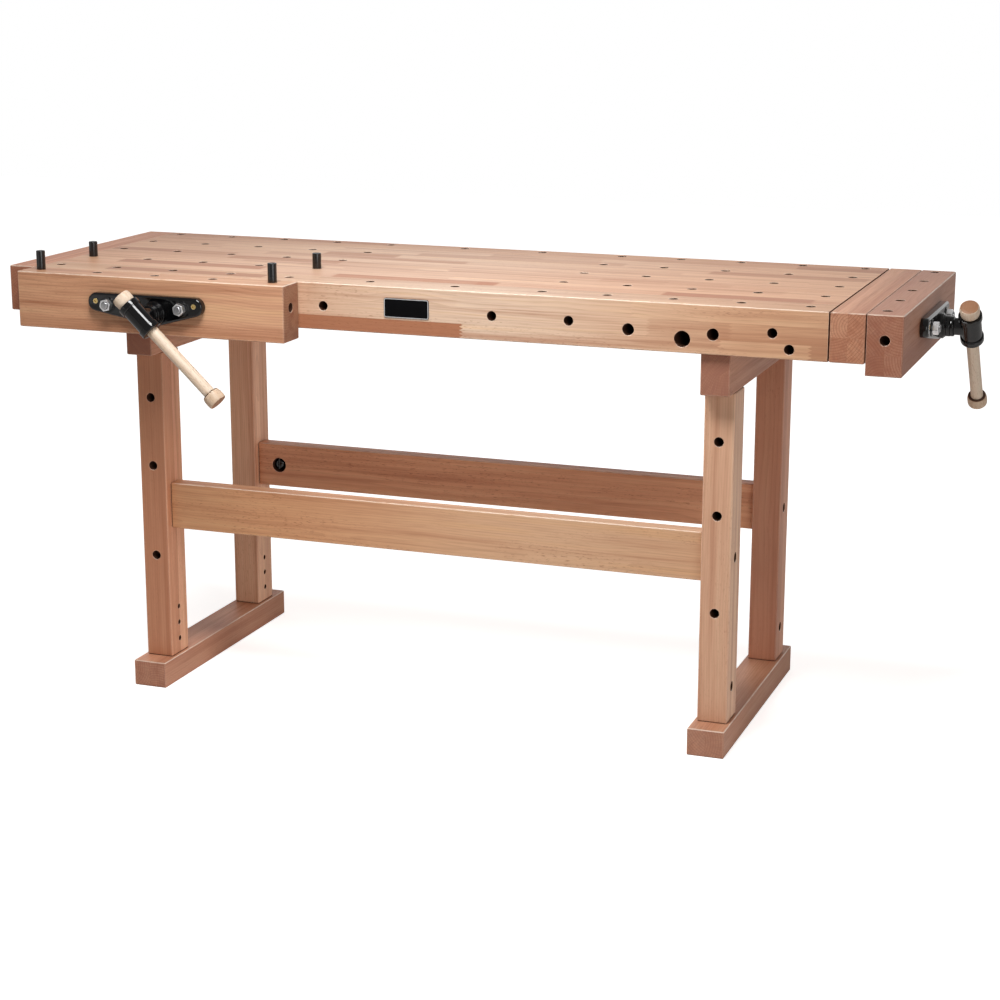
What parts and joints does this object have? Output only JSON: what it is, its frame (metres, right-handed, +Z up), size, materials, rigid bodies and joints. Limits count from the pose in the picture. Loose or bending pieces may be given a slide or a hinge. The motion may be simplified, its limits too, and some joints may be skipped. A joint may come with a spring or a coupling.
{
  "type": "woodworking bench",
  "caption": "Beech workbench on two trestles with a dog-hole top, a sliding front vise, a full-width tail vise, wooden handles and round bench dogs.",
  "frame": {"origin": "centre of the whole object's box on the floor", "axes": "+X along the bench from the front vise to the tail vise, +Y from front to back, +Z up"},
  "size_m": [1.9774, 0.7716, 0.939],
  "materials": {
    "beech": "oiled steamed beech",
    "pale_beech": "smooth turned beech",
    "black_iron": "gloss black enamel",
    "steel": "bright zinc",
    "rubber": "matt",
    "dog_black": "satin black"
  },
  "bodies": {
    "bench": {"top_slab": "beech", "front_apron": "beech", "rear_apron": "beech", "left_end_cap": "beech", "right_end_cap": "beech", "name_plate": "black_iron", "left_foot": "beech", "left_bearer": "beech", "left_front_leg": "beech", "left_front_stretcher_bolt": "steel", "left_front_barrel_nut": "steel", "left_front_top_bolt": "steel", "left_rear_leg": "beech", "left_rear_stretcher_bolt": "steel", "left_rear_barrel_nut": "steel", "left_rear_top_bolt": "steel", "right_foot": "beech", "right_bearer": "beech", "right_front_leg": "beech", "right_front_stretcher_bolt": "steel", "right_front_barrel_nut": "steel", "right_front_top_bolt": "steel", "right_rear_leg": "beech", "right_rear_stretcher_bolt": "steel", "right_rear_barrel_nut": "steel", "right_rear_top_bolt": "steel", "front_stretcher": "beech", "rear_stretcher": "beech", "front_nut_casting": "black_iron", "tail_nut_casting": "black_iron"},
    "front_vise_jaw": {"front_jaw": "beech", "front_casting": "black_iron", "front_guide_rod_near": "steel", "front_rod_nut_near": "steel", "front_guide_rod_far": "steel", "front_rod_nut_far": "steel"},
    "front_vise_screw": {"front_screw": "steel", "front_collar": "steel", "front_hub": "black_iron"},
    "front_vise_handle": {"front_handle_bar": "pale_beech", "front_handle_knob": "pale_beech", "front_handle_buffer": "rubber"},
    "tail_vise_jaw": {"tail_jaw": "beech", "tail_casting": "black_iron", "tail_guide_rod_near": "steel", "tail_rod_nut_near": "steel", "tail_guide_rod_far": "steel", "tail_rod_nut_far": "steel"},
    "tail_vise_screw": {"tail_screw": "steel", "tail_collar": "steel", "tail_hub": "black_iron"},
    "tail_vise_handle": {"tail_handle_bar": "pale_beech", "tail_handle_knob": "pale_beech", "tail_handle_buffer": "rubber"},
    "jaw_dog_left_body": {"jaw_dog_left": "dog_black"},
    "jaw_dog_right_body": {"jaw_dog_right": "dog_black"},
    "top_dog_left_body": {"top_dog_left": "dog_black"},
    "top_dog_right_body": {"top_dog_right": "dog_black"}
  },
  "joints": [
    {"name": "front_jaw_slide", "type": "slide", "parent": "bench", "child": "front_vise_jaw", "axis": [0, -1, 0], "range_m": [0, 0.15]},
    {"name": "front_screw_turn", "type": "hinge", "parent": "front_vise_jaw", "child": "front_vise_screw", "pos_m": [-0.60171, -0.36224, 0.8325], "axis": [0, -1, 0], "range_deg": [0, 9000]},
    {"name": "front_handle_slide", "type": "slide", "parent": "front_vise_screw", "child": "front_vise_handle", "axis": [-0.7254, 0, 0.6884], "range_m": [0, 0.171]},
    {"name": "tail_jaw_slide", "type": "slide", "parent": "bench", "child": "tail_vise_jaw", "axis": [1, 0, 0], "range_m": [0, 0.15]},
    {"name": "tail_screw_turn", "type": "hinge", "parent": "tail_vise_jaw", "child": "tail_vise_screw", "pos_m": [0.96529, 0.10676, 0.8325], "axis": [1, 0, 0], "range_deg": [0, 9000]},
    {"name": "tail_handle_slide", "type": "slide", "parent": "tail_vise_screw", "child": "tail_vise_handle", "axis": [0, -0.6428, 0.766], "range_m": [0, 0.171]},
    {"name": "jaw_dog_left_slide", "type": "slide", "parent": "front_vise_jaw", "child": "jaw_dog_left_body", "axis": [0, 0, 1], "range_m": [-0.039, 0.045]},
    {"name": "jaw_dog_right_slide", "type": "slide", "parent": "front_vise_jaw", "child": "jaw_dog_right_body", "axis": [0, 0, 1], "range_m": [-0.039, 0.045]},
    {"name": "top_dog_left_slide", "type": "slide", "parent": "bench", "child": "top_dog_left_body", "axis": [0, 0, 1], "range_m": [-0.032, 0.045]},
    {"name": "top_dog_right_slide", "type": "slide", "parent": "bench", "child": "top_dog_right_body", "axis": [0, 0, 1], "range_m": [-0.032, 0.045]}
  ],
  "couplings": [
    {"joint": "front_screw_turn", "follows": "front_jaw_slide", "rad_per_m": 1047.2},
    {"joint": "tail_screw_turn", "follows": "tail_jaw_slide", "rad_per_m": 1047.2}
  ]
}
